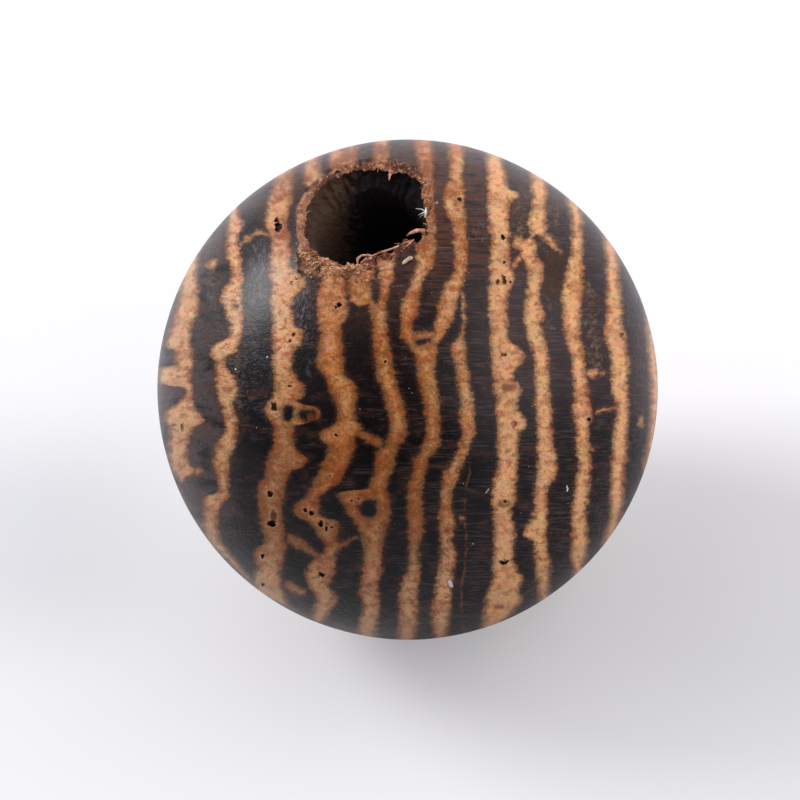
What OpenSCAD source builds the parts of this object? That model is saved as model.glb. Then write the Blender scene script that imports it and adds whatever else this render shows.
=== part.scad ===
// Round wooden bead, turned from banded hardwood and drilled through for a cord.
// The origin is the ball's centre and the string hole runs along Z, its torn mouth up.
// Directions round the hole are in degrees from +X, so 270 faces the viewer at -Y.

/* [Ball] */
// Diameter of the turned ball
ball_d = 8; // [6:0.5:16]

/* [String hole] */
// Diameter of the drilled hole
hole_d = 1.8; // [1:0.05:2.5]
// Width of the eased edge round the lower mouth
mouth_ease = 0.1; // [0.05:0.05:0.3]

/* [Torn mouth] */
// Number of fibre bundles torn off round the upper mouth
torn_bundles = 72; // [36:4:108]
// Width of the bite that the drill left all round the edge
bite_w = 0.03; // [0.01:0.01:0.1]
// Extra width of the widest chip
chip_w = 0.2; // [0.05:0.01:0.3]
// Raggedness of the edge, from one bundle to the next
rag_w = 0.05; // [0.01:0.01:0.1]
// How far the widest chip runs down the wall of the hole
tear_depth = 0.3; // [0.1:0.02:0.4]
// Width of the scuffed ring round the torn edge
scuff_w = 0.32; // [0.1:0.02:0.5]
// Depth of the scuffed ring at the torn edge
scuff_depth = 0.05; // [0.02:0.01:0.1]

/* [Grain] */
// Angle between the wood's fibres and the string hole
grain_tilt = 46.9; // [0:0.1:90]
// Turn of the growth layers about the fibres
layer_turn = 13.5; // [-45:0.5:45]

/* [Pores] */
// Diameter of the widest vessel
vessel_d = 0.2; // [0.1:0.01:0.3]
// Depth of an open vessel, down to its plug of gum
vessel_depth = 0.25; // [0.1:0.05:0.6]

/* [Hidden] */
$fn = 96;

ball_r = ball_d / 2;
hole_r = hole_d / 2;
// Height of the sharp edge where the bare drill would leave the ball
rim_z = sqrt(pow(ball_r, 2) - pow(hole_r, 2));
// How far a cutter runs on past what it cuts
run_out = 1;

// Chips round the upper mouth: direction, half width in degrees, share of chip_w
CHIPS = [
    [38, 30, 1.0],
    [98, 34, 0.8],
    [150, 40, 0.7],
    [214, 26, 0.5],
    [252, 14, 0.9],
    [325, 12, 0.5],
];

// Stretches where the scuffed ring is wider: direction, half width in degrees, share of scuff_w
SCUFFS = [
    [115, 75, 0.6],
    [228, 42, 0.5],
];

// Vessels open at the face: across and up in shares of ball_r, then a share of vessel_d
VESSELS = [
    [-0.51, 0.65, 0.8],
    [-0.29, 0.34, 0.5],
    [-0.45, 0.2, 0.55],
    [-0.53, -0.06, 0.65],
    [-0.47, -0.1, 0.9],
    [-0.4, -0.11, 1.0],
    [-0.9, -0.15, 0.6],
    [-0.55, -0.41, 0.75],
    [-0.54, -0.52, 1.0],
    [-0.4, -0.48, 0.5],
    [-0.33, -0.54, 0.7],
    [-0.57, -0.66, 0.55],
    [-0.34, -0.74, 0.75],
    [0.35, 0.41, 0.4],
    [0.38, 0.44, 0.45],
    [0.39, 0.38, 0.5],
    [0.37, 0.61, 0.5],
    [0.38, 0.14, 0.55],
    [0.41, -0.14, 0.65],
    [0.38, -0.45, 0.45],
    [0.38, -0.69, 0.85],
    [0.72, -0.12, 0.45],
    [0.84, 0.22, 0.7],
];

// How much of a stretch's share holds at direction a: all in its middle, none past its sides
function share_at(a, stretch) =
    let (off = abs((a - stretch[0] + 540) % 360 - 180))
    off < stretch[1] ? stretch[2] * (1 + cos(180 * off / stretch[1])) / 2 : 0;
function most_at(a, stretches) = max([for (stretch = stretches) share_at(a, stretch)]);

// Height of the ball's surface at a distance from the hole's axis
function surface_z(reach) = sqrt(pow(ball_r, 2) - pow(reach, 2));

// A point at direction a, from its distance and height
function turned_to(a, point) = [point[0] * cos(a), point[0] * sin(a), point[1]];

// The point that lies beyond b on the line from a, by a share of their distance
function past(a, b, share) = b + share * (b - a);

// Half section of the bead: the arc outside, the drilled wall inside and the eased lower edge
module half_section() {
    difference() {
        circle(r = ball_r);
        translate([-ball_r - run_out, -ball_r - run_out])
            square([ball_r + run_out + hole_r, ball_d + 2 * run_out]);
        translate([hole_r, -rim_z])
            polygon([
                [-run_out, mouth_ease + run_out],
                [mouth_ease + run_out, -run_out],
                [-run_out, -run_out],
            ]);
    }
}

// The ball, turned and drilled
module turned_ball() {
    rotate_extrude()
        half_section();
}

// The wood that the drill tore out at the upper mouth: a shallow scuffed dish round a steep, ragged
// funnel. Each bundle of fibres has its own half section, and the rings join those sections.
module torn_wood() {
    turns = [for (i = [0 : torn_bundles - 1]) i * 360 / torn_bundles];
    rag_out = rands(0, 1, torn_bundles, 11);
    rag_down = rands(0, 1, torn_bundles, 23);
    rag_scuff = rands(0.7, 1, torn_bundles, 35);
    sections = [
        for (i = [0 : torn_bundles - 1])
            let (
                chip = most_at(turns[i], CHIPS),
                edge_r = hole_r + bite_w + chip_w * chip + rag_w * rag_out[i],
                scuff = scuff_w * (0.6 + most_at(turns[i], SCUFFS)) * rag_scuff[i],
                wall = [hole_r, rim_z - tear_depth * (0.3 + 0.5 * chip + 0.2 * rag_down[i])],
                edge = [edge_r, surface_z(edge_r) - scuff_depth],
                face = [edge_r + scuff, surface_z(edge_r + scuff)],
                outside = past(edge, face, 0.3)
            )
            [past(edge, wall, 0.4), wall, edge, outside, [outside[0], rim_z + run_out]]
    ];
    rings = len(sections[0]);
    foot = [0, 0, rim_z - 2 * tear_depth];
    head = [0, 0, rim_z + run_out];
    points = concat(
        [foot],
        [for (k = [0 : rings - 1], i = [0 : torn_bundles - 1]) turned_to(turns[i], sections[i][k])],
        [head]
    );
    function id(k, i) = 1 + k * torn_bundles + i % torn_bundles;
    polyhedron(
        points = points,
        faces = concat(
            [for (i = [0 : torn_bundles - 1]) [0, id(0, i), id(0, i + 1)]],
            [
                for (k = [0 : rings - 2], i = [0 : torn_bundles - 1])
                    each [
                        [id(k, i), id(k + 1, i), id(k + 1, i + 1)],
                        [id(k, i), id(k + 1, i + 1), id(k, i + 1)],
                    ]
            ],
            [for (i = [0 : torn_bundles - 1]) [len(points) - 1, id(rings - 1, i + 1), id(rings - 1, i)]]
        )
    );
}

// Stands its children along the wood's fibres
module along_grain() {
    rotate([grain_tilt, 0, 0])
        rotate([0, 0, -layer_turn])
            children();
}

// One vessel that turning the ball cut open at both ends, blind behind its plugs of gum
module vessel(across, up, d) {
    reach = norm([across, up]);
    if (reach < ball_r - d)
        for (end = [0, 1])
            mirror([0, 0, end])
                translate([across, up, surface_z(reach) - vessel_depth])
                    cylinder(h = vessel_depth + run_out, d = d);
}

module bead() {
    color("#5a3a28")
        difference() {
            turned_ball();
            torn_wood();
            along_grain()
                for (v = VESSELS)
                    vessel(v[0] * ball_r, v[1] * ball_r, v[2] * vessel_d);
        }
}

bead();
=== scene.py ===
import math
import random

import bmesh
import bpy
from bpy.props import FloatProperty, FloatVectorProperty, IntProperty, PointerProperty
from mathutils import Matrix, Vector, noise


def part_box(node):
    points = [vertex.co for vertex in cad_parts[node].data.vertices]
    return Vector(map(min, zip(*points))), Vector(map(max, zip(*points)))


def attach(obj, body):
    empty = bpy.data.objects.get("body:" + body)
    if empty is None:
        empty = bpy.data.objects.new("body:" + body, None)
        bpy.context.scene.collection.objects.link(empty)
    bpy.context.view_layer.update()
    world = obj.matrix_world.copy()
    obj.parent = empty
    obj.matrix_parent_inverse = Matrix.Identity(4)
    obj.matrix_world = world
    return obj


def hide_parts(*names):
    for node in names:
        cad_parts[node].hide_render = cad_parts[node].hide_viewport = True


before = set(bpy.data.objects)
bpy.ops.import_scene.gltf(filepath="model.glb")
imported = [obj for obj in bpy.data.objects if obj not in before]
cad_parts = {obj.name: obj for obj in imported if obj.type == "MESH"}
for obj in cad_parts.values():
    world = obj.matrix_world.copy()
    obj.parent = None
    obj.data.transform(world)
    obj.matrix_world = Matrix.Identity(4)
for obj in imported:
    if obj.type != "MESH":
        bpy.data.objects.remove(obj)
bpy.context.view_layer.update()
BEAD_LOW, BEAD_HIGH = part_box("bead")

bl_info = {
    "name": "Wooden Bead",
    "version": (1, 0, 0),
    "blender": (4, 5, 0),
    "location": "3D View > Sidebar > Bead",
    "description": "Builds a turned bead of dark banded wood, with its torn mouth, on a white table",
    "category": "Object",
}

MM = 0.001
BODY = "root"
NODE = "bead"

# The wood. Places on its end grain are in mm from the bead's centre, as across the layers and up
# along them. The grain itself runs through the bead towards the viewer.

# Each pale layer by its left and right edge, as (up, left edge, right edge).
PALE_LAYERS = {
    "far left": (
        (-1.4, -3.66, -3.52), (-1.27, -3.75, -3.38), (-1.2, -3.8, -3.46), (-1.0, -3.8, -3.5),
        (-0.8, -3.77, -3.48), (-0.6, -3.8, -3.4), (-0.5, -3.84, -3.23), (-0.4, -3.84, -3.3),
        (-0.27, -3.72, -3.4), (-0.15, -3.56, -3.41), (0.0, -3.5, -3.42), (0.05, -3.62, -3.43),
        (0.09, -3.94, -3.45), (0.34, -3.96, -3.43), (0.4, -3.68, -3.41), (0.6, -3.68, -3.43),
        (0.68, -3.84, -3.45), (1.0, -3.75, -3.43), (1.3, -3.66, -3.32), (1.8, -3.6, -3.36),
        (2.3, -3.5, -3.34),
    ),
    "left": (
        (-2.6, -2.98, -2.85), (-2.4, -3.17, -3.0), (-2.0, -3.24, -3.03), (-1.8, -3.22, -2.95),
        (-1.7, -3.2, -2.85), (-1.6, -3.0, -2.83), (-1.4, -3.0, -2.83), (-1.2, -3.07, -2.83),
        (-1.0, -3.06, -2.8), (-0.8, -2.98, -2.72), (-0.6, -2.87, -2.7), (-0.4, -2.9, -2.72),
        (-0.2, -2.97, -2.77), (0.0, -3.02, -2.7), (0.2, -3.03, -2.75), (0.4, -3.03, -2.9),
        (0.5, -3.08, -2.88), (0.6, -3.13, -2.7), (0.7, -3.1, -2.68), (0.8, -2.87, -2.65),
        (1.0, -2.8, -2.63), (1.2, -2.87, -2.63), (1.5, -2.95, -2.63), (1.8, -2.77, -2.63),
        (2.1, -2.85, -2.65), (2.4, -2.87, -2.7), (2.6, -2.85, -2.63), (2.8, -2.85, -2.7),
    ),
    "inner left": (
        (-3.4, -2.05, -1.9), (-3.2, -2.4, -1.98), (-3.0, -2.45, -2.03), (-2.8, -2.38, -2.0),
        (-2.6, -2.43, -1.95), (-2.4, -2.25, -1.95), (-2.2, -2.3, -1.97), (-2.0, -2.33, -2.0),
        (-1.6, -2.37, -1.95), (-1.3, -2.22, -1.85), (-1.2, -2.22, -1.62), (-1.1, -2.2, -1.58),
        (-1.0, -2.15, -1.72), (-0.8, -2.1, -1.8), (-0.6, -2.1, -1.8), (-0.5, -2.15, -1.5),
        (-0.4, -2.23, -1.4), (-0.3, -2.25, -1.4), (-0.2, -2.2, -1.75), (-0.1, -2.12, -1.68),
        (0.0, -2.1, -1.63), (0.2, -2.1, -1.77), (0.4, -2.12, -1.83), (0.6, -2.12, -1.8),
        (0.8, -2.12, -1.65), (0.9, -2.13, -1.65), (1.0, -2.13, -1.78), (1.2, -2.13, -1.82),
        (1.4, -2.15, -1.83), (1.5, -2.15, -1.75), (1.7, -2.15, -1.62), (1.8, -2.17, -1.7),
        (2.0, -2.17, -1.87), (2.4, -2.15, -1.87), (2.6, -2.25, -1.93), (3.0, -2.2, -1.85),
        (3.4, -2.1, -1.83),
    ),
    "under the mouth, left": (
        (-3.6, -1.5, -1.3), (-3.3, -1.45, -1.12), (-3.1, -1.57, -1.25), (-2.9, -1.6, -1.17),
        (-2.7, -1.5, -1.15), (-2.6, -1.35, -1.13), (-2.5, -1.3, -1.07), (-2.3, -1.42, -1.13),
        (-2.1, -1.55, -1.1), (-2.0, -1.75, -1.37), (-1.9, -1.8, -1.4), (-1.8, -1.75, -1.4),
        (-1.7, -1.62, -1.38), (-1.6, -1.55, -1.3), (-1.5, -1.5, -1.12), (-1.4, -1.45, -1.05),
        (-1.2, -1.35, -0.95), (-1.0, -1.27, -0.87), (-0.9, -1.25, -0.83), (-0.8, -1.35, -0.85),
        (-0.7, -1.38, -0.75), (-0.6, -1.25, -0.72), (-0.5, -1.12, -0.78), (-0.4, -1.1, -0.82),
        (-0.2, -1.15, -0.83), (0.0, -1.22, -0.83), (0.1, -1.27, -0.85), (0.2, -1.3, -0.98),
        (0.4, -1.42, -1.02), (0.6, -1.4, -1.02), (0.8, -1.38, -1.05), (1.0, -1.4, -1.05),
        (1.2, -1.42, -0.95), (1.4, -1.43, -0.97), (1.8, -1.35, -0.97), (3.1, -1.4, -1.0),
        (3.3, -1.65, -1.4), (3.7, -1.65, -1.4),
    ),
    "in the torn wood": (
        (1.3, -0.74, -0.78), (1.42, -0.92, -0.55), (1.6, -0.93, -0.55), (1.9, -0.95, -0.55),
        (2.2, -0.95, -0.5), (3.3, -0.95, -0.6), (3.6, -1.25, -0.8), (4.0, -1.25, -0.8),
    ),
    "under the mouth": (
        (-3.8, -0.78, -0.5), (-3.4, -0.7, -0.45), (-3.2, -0.77, -0.47), (-3.0, -0.72, -0.45),
        (-2.8, -0.7, -0.42), (-2.6, -0.67, -0.4), (-2.4, -0.7, -0.4), (-2.25, -0.76, -0.35),
        (-2.1, -0.83, -0.3), (-1.95, -0.95, -0.27), (-1.8, -1.02, -0.3), (-1.63, -1.1, -0.33),
        (-1.57, -0.66, -0.35), (-1.4, -0.57, -0.28), (-1.2, -0.5, -0.22), (-1.0, -0.5, -0.2),
        (-0.9, -0.37, -0.17), (-0.8, -0.33, -0.08), (-0.6, -0.28, -0.02), (-0.4, -0.3, -0.05),
        (-0.2, -0.35, -0.08), (0.0, -0.4, -0.15), (0.2, -0.48, -0.2), (0.4, -0.5, -0.25),
        (0.6, -0.53, -0.28), (1.0, -0.55, -0.33), (1.2, -0.57, -0.35), (1.4, -0.6, -0.33),
        (1.6, -0.42, -0.3), (1.8, -0.45, -0.22), (2.0, -0.47, -0.22), (3.0, -0.5, -0.25),
        (3.6, -0.55, -0.3), (4.0, -0.55, -0.3),
    ),
    "middle": (
        (-4.0, -0.15, 0.1), (-3.6, -0.12, 0.15), (-3.2, -0.12, 0.15), (-3.0, -0.07, 0.2),
        (-2.8, 0.0, 0.17), (-2.5, 0.03, 0.17), (-2.2, 0.02, 0.25), (-1.8, 0.0, 0.22),
        (-1.4, 0.03, 0.25), (-1.3, 0.08, 0.28), (-1.1, 0.1, 0.32), (-1.0, 0.2, 0.4), (-0.9, 0.23, 0.47),
        (-0.8, 0.28, 0.5), (-0.6, 0.3, 0.5), (-0.4, 0.28, 0.5), (-0.2, 0.25, 0.5), (0.0, 0.2, 0.45),
        (0.2, 0.17, 0.43), (0.4, 0.15, 0.42), (0.6, 0.08, 0.45), (0.7, 0.0, 0.36), (0.78, -0.06, 0.3),
        (0.85, -0.12, 0.14), (1.0, -0.1, 0.05), (1.2, -0.1, 0.15), (1.4, -0.07, 0.17), (1.6, 0.03, 0.2),
        (1.8, 0.07, 0.28), (2.0, 0.15, 0.4), (2.2, 0.15, 0.43), (2.6, 0.2, 0.42), (3.4, 0.18, 0.4),
        (4.0, 0.1, 0.38),
    ),
    "right of the mouth": (
        (0.55, 0.42, 0.38), (0.7, 0.35, 0.46), (0.85, 0.4, 0.55), (1.0, 0.43, 0.65), (1.2, 0.47, 0.73),
        (1.4, 0.5, 0.77), (1.6, 0.57, 0.85), (1.8, 0.7, 0.9), (2.0, 0.75, 0.93), (2.4, 0.73, 0.92),
        (2.6, 0.7, 0.92), (2.8, 0.63, 0.9), (3.0, 0.57, 0.87), (3.2, 0.6, 0.88), (3.4, 0.67, 0.87),
        (3.8, 0.65, 0.9),
    ),
    "thin": (
        (-4.0, 0.42, 0.6), (-3.8, 0.42, 0.63), (-3.5, 0.37, 0.67), (-3.2, 0.43, 0.68),
        (-3.0, 0.48, 0.7), (-2.8, 0.5, 0.73), (-2.6, 0.53, 0.75), (-2.4, 0.52, 0.7), (-2.2, 0.5, 0.73),
        (-2.0, 0.5, 0.72), (-1.8, 0.52, 0.68), (-1.6, 0.53, 0.68), (-1.4, 0.55, 0.77),
        (-1.2, 0.65, 0.85), (-1.0, 0.77, 0.92), (-0.8, 0.83, 1.0), (-0.7, 0.87, 1.05),
        (-0.5, 0.82, 1.03), (-0.2, 0.83, 1.03), (0.0, 0.8, 1.0), (0.2, 0.77, 0.97), (0.4, 0.75, 0.93),
        (0.7, 0.7, 0.9), (0.8, 0.8, 0.88), (1.0, 0.85, 0.9), (1.4, 0.85, 0.89), (1.6, 0.88, 0.85),
    ),
    "broad": (
        (-3.7, 1.2, 1.5), (-3.5, 1.22, 1.7), (-3.3, 1.25, 1.8), (-3.2, 1.28, 1.75), (-3.0, 1.35, 1.83),
        (-2.9, 1.35, 1.75), (-2.6, 1.37, 1.67), (-2.2, 1.37, 1.68), (-2.0, 1.35, 1.62),
        (-1.8, 1.33, 1.67), (-1.5, 1.35, 1.7), (-1.3, 1.42, 1.72), (-1.0, 1.43, 1.72),
        (-0.7, 1.42, 1.77), (-0.5, 1.42, 1.87), (-0.4, 1.4, 1.78), (-0.2, 1.4, 1.72), (0.0, 1.37, 1.78),
        (0.2, 1.35, 1.65), (0.4, 1.33, 1.75), (0.5, 1.33, 1.83), (0.6, 1.32, 1.8), (0.8, 1.3, 1.58),
        (1.0, 1.3, 1.57), (1.4, 1.27, 1.57), (1.6, 1.28, 1.62), (1.8, 1.3, 1.7), (2.0, 1.3, 1.6),
        (2.2, 1.32, 1.6), (2.6, 1.3, 1.6), (2.9, 1.27, 1.6), (3.1, 1.27, 1.75), (3.2, 1.27, 1.6),
        (3.4, 1.27, 1.55), (3.7, 1.25, 1.5),
    ),
    "right": (
        (-3.3, 2.1, 2.25), (-2.8, 2.03, 2.25), (-2.4, 1.97, 2.2), (-2.3, 1.83, 2.2), (-2.0, 1.98, 2.2),
        (-1.6, 2.02, 2.2), (-1.4, 2.03, 2.3), (-1.2, 2.05, 2.35), (-0.8, 2.05, 2.28),
        (-0.4, 2.03, 2.27), (0.0, 2.02, 2.23), (0.4, 2.0, 2.22), (0.6, 1.97, 2.2), (0.8, 1.9, 2.15),
        (1.0, 1.85, 2.1), (1.2, 1.83, 2.15), (1.4, 1.87, 2.08), (1.8, 1.9, 2.12), (2.0, 1.85, 2.1),
        (2.1, 1.8, 2.05), (2.2, 1.75, 2.0), (2.3, 1.72, 2.0), (2.42, 1.95, 1.98), (2.5, 1.95, 2.2),
        (2.6, 1.9, 2.2), (2.8, 1.95, 2.18), (3.0, 1.98, 2.2), (3.4, 1.97, 2.2),
    ),
    "far right": (
        (-2.8, 2.63, 2.8), (-2.4, 2.6, 2.85), (-2.0, 2.6, 2.82), (-1.6, 2.63, 2.87), (-1.2, 2.7, 2.88),
        (-1.0, 2.67, 2.87), (-0.6, 2.67, 2.85), (-0.4, 2.63, 2.88), (0.0, 2.63, 2.83), (0.4, 2.6, 2.8),
        (0.6, 2.57, 2.77), (0.8, 2.5, 2.73), (1.0, 2.47, 2.72), (1.4, 2.45, 2.75), (1.8, 2.5, 2.77),
        (2.0, 2.53, 2.77), (2.2, 2.6, 2.77), (2.6, 2.6, 2.77), (3.0, 2.55, 2.75),
    ),
    "near the right edge": (
        (-2.4, 3.13, 3.25), (-2.2, 3.17, 3.35), (-2.0, 3.23, 3.37), (-1.8, 3.22, 3.42),
        (-1.4, 3.23, 3.43), (-1.0, 3.25, 3.47), (-0.6, 3.27, 3.48), (-0.3, 3.32, 3.5),
        (0.0, 3.23, 3.48), (0.4, 3.22, 3.5), (0.6, 3.2, 3.47), (0.8, 3.13, 3.45), (1.0, 3.13, 3.4),
        (1.2, 3.15, 3.4), (1.8, 3.17, 3.35), (2.2, 3.15, 3.35), (2.4, 3.13, 3.25),
    ),
    "right edge": (
        (-1.4, 3.77, 3.85), (-1.2, 3.78, 3.87), (-0.8, 3.83, 3.95), (-0.4, 3.88, 4.0),
        (0.0, 3.88, 4.03), (0.4, 3.85, 4.0), (0.8, 3.82, 3.97),
    ),
}

# A faint thin layer, in the same form.
FAINT_LAYER = (
    (-3.7, 0.86, 0.9), (-3.4, 0.83, 0.87), (-3.2, 0.83, 0.87), (-2.8, 0.88, 0.92), (-2.4, 0.9, 0.94),
    (-1.8, 0.88, 0.92), (-1.6, 0.9, 0.94), (-1.3, 0.96, 0.985), (-1.15, 0.98, 0.97),
)

# Marks in the wood. A spot is (across, up, radius), and a streak is (from across, up, to across, up,
# half width).
# Pale islands and bridges off the layers.
PALE_MARKS = (
    (-3.32, -1.31, 0.05), (1.74, 2.32, 1.96, 2.24, 0.085), (2.12, 2.48, 2.26, 2.34, 0.05),
    (1.68, 1.96, 1.76, 2.06, 0.035), (-3.13, 1.98, -3.08, 2.02, 0.055), (-2.65, 2.3, -2.4, 2.5, 0.018),
    (-2.4, 2.5, -2.2, 2.45, 0.015), (-1.86, -2.36, -1.66, -2.47, 0.065),
    (-1.62, -2.52, -1.4, -2.64, 0.04), (-1.88, -3.12, -1.7, -3.22, 0.05),
    (-0.82, -0.65, -0.45, -0.85, 0.055), (-1.1, -2.47, -1.0, -2.43, 0.03),
    (-1.0, -2.43, -0.8, -2.34, 0.012), (0.08, 0.85, 0.42, 0.86, 0.05), (0.855, -2.04, 0.03),
    (2.18, 2.4, 2.42, 2.18, 0.028), (2.9, 0.25, 2.96, 0.26, 0.055), (2.96, 0.26, 3.1, 0.25, 0.015),
    (2.925, -0.95, 0.015), (3.0, -0.35, 3.3, -0.28, 0.012), (3.7, -0.54, 3.71, -0.46, 0.02),
)

# Dark wood inside the pale layers.
DARK_MARKS = (
    (-3.88, 0.47, -3.74, 0.47, 0.08), (-0.53, 1.7, -0.51, 1.46, 0.07),
    (-0.97, 1.86, -0.94, 1.55, 0.026), (-2.8, 0.45, 0.035), (-2.715, 1.31, 0.045),
    (-1.88, -0.42, -1.88, -0.32, 0.082), (-1.63, -0.4, -1.52, -0.4, 0.1),
    (-0.97, 1.45, -0.97, 1.85, 0.022), (-0.5, 1.38, -0.5, 1.72, 0.035), (-0.62, -1.87, 0.15),
    (0.17, 0.74, 0.25, 0.76, 0.055), (0.805, 3.005, 0.035),
)

# Dark wood with pale specks.
SPECKLED = (
    (-2.67, 0.46, -2.68, -0.3, 0.105), (-3.12, 1.72, -3.06, 1.78, 0.12),
    (-2.55, -0.05, -2.5, -0.1, 0.06), (1.72, 2.45, 1.8, 2.95, 0.13), (2.3, 2.35, 2.32, 2.8, 0.11),
    (2.85, 1.6, 2.98, 0.25, 0.115), (2.27, 2.15, 2.3, 1.62, 0.11), (2.28, 1.45, 2.27, 1.0, 0.06),
    (1.12, 2.55, 1.13, 2.45, 0.12), (-1.55, 3.4, -1.5, 3.6, 0.11),
)

# Painted highlight: a grey sheen on the dark wood, where the lacquer would catch the window lamp.
SHEEN_HIGHLIGHTS = (
    (-1.66, 1.55, -1.64, 0.85, 0.15), (-2.37, 2.2, -2.37, 1.5, 0.16), (-2.43, 0.95, -2.42, 0.7, 0.07),
    (-1.57, 0.5, -1.54, 0.18, 0.04), (-3.13, 1.62, -3.08, 1.35, 0.1),
)

# Black spots.
BLACK_MARKS = (
    (-0.615, -1.88, 0.13), (-1.885, -0.44, -1.875, -0.32, 0.07), (-1.65, -0.4, 0.05),
)

# Reddish gum.
GUM = (
    (-1.525, -0.415, 0.05), (1.53, 0.02, 1.66, 0.02, 0.06), (1.4, -3.45, 1.5, -3.45, 0.04),
    (2.89, -0.48, 0.05), (0.63, -2.23, 0.05), (1.48, -1.8, 1.56, -1.8, 0.06), (-1.28, -2.115, 0.04),
)

# Fine scratches in the lacquer, then the white dust on it.
SCRATCHES = (
    (2.43, -2.38, 2.53, -2.22, 0.006), (1.76, -3.31, 2.06, -3.1, 0.008),
    (1.98, -3.28, 2.3, -2.95, 0.008), (2.14, 1.51, 2.28, 1.34, 0.006), (-1.95, 0.62, -1.4, 0.76, 0.005),
    (-0.24, 0.39, 0.16, 0.38, 0.007), (-0.28, 1.62, -0.05, 1.64, 0.01), (0.44, 2.24, 0.68, 2.23, 0.009),
    (0.95, 2.37, 1.25, 2.4, 0.01), (0.9, 2.86, 1.26, 2.85, 0.009),
)
DUST = (
    (0.655, -3.04, 0.705, -3.11, 0.026), (2.52, -1.53, 2.525, -1.61, 0.01), (1.025, -2.43, 0.009),
    (1.23, -1.63, 1.27, -1.57, 0.007), (-2.73, 0.325, 0.014), (-2.21, 0.51, 0.014),
)

# Open vessels on the end grain, as (across, up, radius, height by width, how far open).
VESSELS = (
    (-2.05, 2.57, 0.06, 1.3, 1.0), (-2.08, 2.68, 0.034, 1.2, 0.9), (-1.83, 1.67, 0.03, 0.9, 0.3),
    (-1.8, 0.86, 0.036, 1.2, 0.6), (-1.86, 0.77, 0.028, 1.0, 0.5), (-1.85, 0.05, 0.032, 0.8, 0.7),
    (-2.11, -0.27, 0.052, 1.6, 0.8), (-2.17, -1.65, 0.05, 1.0, 0.8), (-2.15, -2.12, 0.08, 0.72, 1.0),
    (-2.115, -2.0, 0.05, 1.9, 0.45), (-2.3, -2.64, 0.032, 1.1, 1.0), (-2.3, -3.1, 0.04, 0.9, 0.9),
    (-1.1, 3.43, 0.06, 0.6, 1.0), (-1.08, 1.33, 0.044, 0.9, 1.0), (-1.13, 1.29, 0.03, 0.8, 0.5),
    (-1.52, -1.95, 0.045, 0.9, 0.9), (-1.62, -1.9, 0.034, 1.0, 0.7), (-1.37, -2.12, 0.046, 0.9, 1.0),
    (-1.28, -2.2, 0.034, 0.9, 0.8), (-1.37, -2.93, 0.06, 0.55, 0.9), (-1.13, -0.72, 0.026, 0.9, 0.8),
    (-0.36, 0.44, 0.022, 1.0, 0.9), (1.5, 2.4, 0.032, 1.4, 0.9), (1.52, 2.0, 0.022, 1.0, 0.7),
    (1.41, 1.69, 0.03, 1.6, 0.7), (1.52, 1.71, 0.036, 2.1, 0.7), (1.49, 1.78, 0.024, 1.2, 0.7),
    (1.62, 1.7, 0.022, 1.0, 0.6), (1.52, 0.54, 0.05, 0.6, 0.6), (1.67, -0.55, 0.055, 1.0, 0.45),
    (1.53, -1.76, 0.028, 0.9, 0.7), (1.5, -2.74, 0.075, 0.5, 1.0), (1.55, -2.72, 0.04, 0.8, 0.9),
    (2.86, -0.47, 0.03, 1.1, 0.7), (3.38, 0.87, 0.04, 1.0, 0.5), (-3.69, -0.57, 0.04, 0.6, 0.5),
    (-3.57, -0.6, 0.034, 1.9, 0.5), (0.82, 3.0, 0.034, 1.2, 0.5), (-0.89, -1.75, 0.022, 0.8, 0.7),
    (-0.76, -1.72, 0.02, 0.8, 0.6), (-1.2, -2.18, 0.022, 0.9, 0.6), (-0.45, -2.19, 0.022, 0.8, 0.4),
    (-1.22, -1.36, 0.024, 1.0, 0.3),
)

# The torn mouth, as (direction in degrees, radius in mm): the edge of the opening, then the limit of
# the scuffed wood round it.
LIP = (
    (17, 0.97), (27, 1.1), (49, 1.16), (62, 1.14), (78, 1.13), (94, 1.18), (113, 1.15), (129, 1.1),
    (139, 1.06), (159, 0.99), (178, 0.98), (198, 1.0), (215, 1.03), (232, 1.0), (247, 1.03),
    (253, 1.04), (264, 0.91), (286, 0.89), (306, 0.86), (312, 1.02), (325, 1.0), (354, 0.91),
)
SCUFF = (
    (9, 1.14), (27, 1.27), (46, 1.36), (58, 1.42), (73, 1.55), (89, 1.58), (105, 1.55), (120, 1.46),
    (132, 1.38), (144, 1.26), (164, 1.18), (186, 1.18), (200, 1.32), (211, 1.53), (222, 1.51),
    (236, 1.38), (250, 1.4), (262, 1.38), (274, 1.26), (287, 1.19), (306, 1.17), (325, 1.18),
    (345, 1.12),
)


def length(name, description, size):
    """A size in metres."""
    return FloatProperty(name=name, description=description, default=size, unit="LENGTH")


def angle(name, description, degrees):
    """An angle, set here in degrees."""
    return FloatProperty(
        name=name, description=description, default=math.radians(degrees), subtype="ANGLE"
    )


def tint(name, description, rgb):
    """A linear colour."""
    return FloatVectorProperty(name=name, description=description, default=rgb, subtype="COLOR")


class BeadForm(bpy.types.PropertyGroup):
    """Sizes of the turned bead, its bore and its torn mouth."""

    ball_radius: length("Ball radius", "Radius of the turned ball", BEAD_HIGH[0])
    foot: length("Foot height", "Height of the lower mouth that the bead stands on", BEAD_LOW[2])
    bore_radius: length("Bore radius", "Radius of the drilled bore", 0.9 * MM)
    mouth_ease: length("Mouth ease", "Width of the eased edge at the lower mouth", 0.083 * MM)
    scuff_depth: length("Scuff depth", "How far the scuffed wood lies below the ball", 0.035 * MM)
    tear_depth: length("Tear depth", "How far the tears run down the bore", 0.34 * MM)
    vessel_depth: length("Vessel depth", "Depth to which an open vessel can be seen", 0.085 * MM)
    grain_tilt: angle("Grain tilt", "Angle between the bore and the grain", 46.9)
    layer_turn: angle("Layer turn", "Turn of the layers about the grain", 13.5)
    columns: IntProperty(name="Columns", description="Faces round the bead", default=384)


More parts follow.
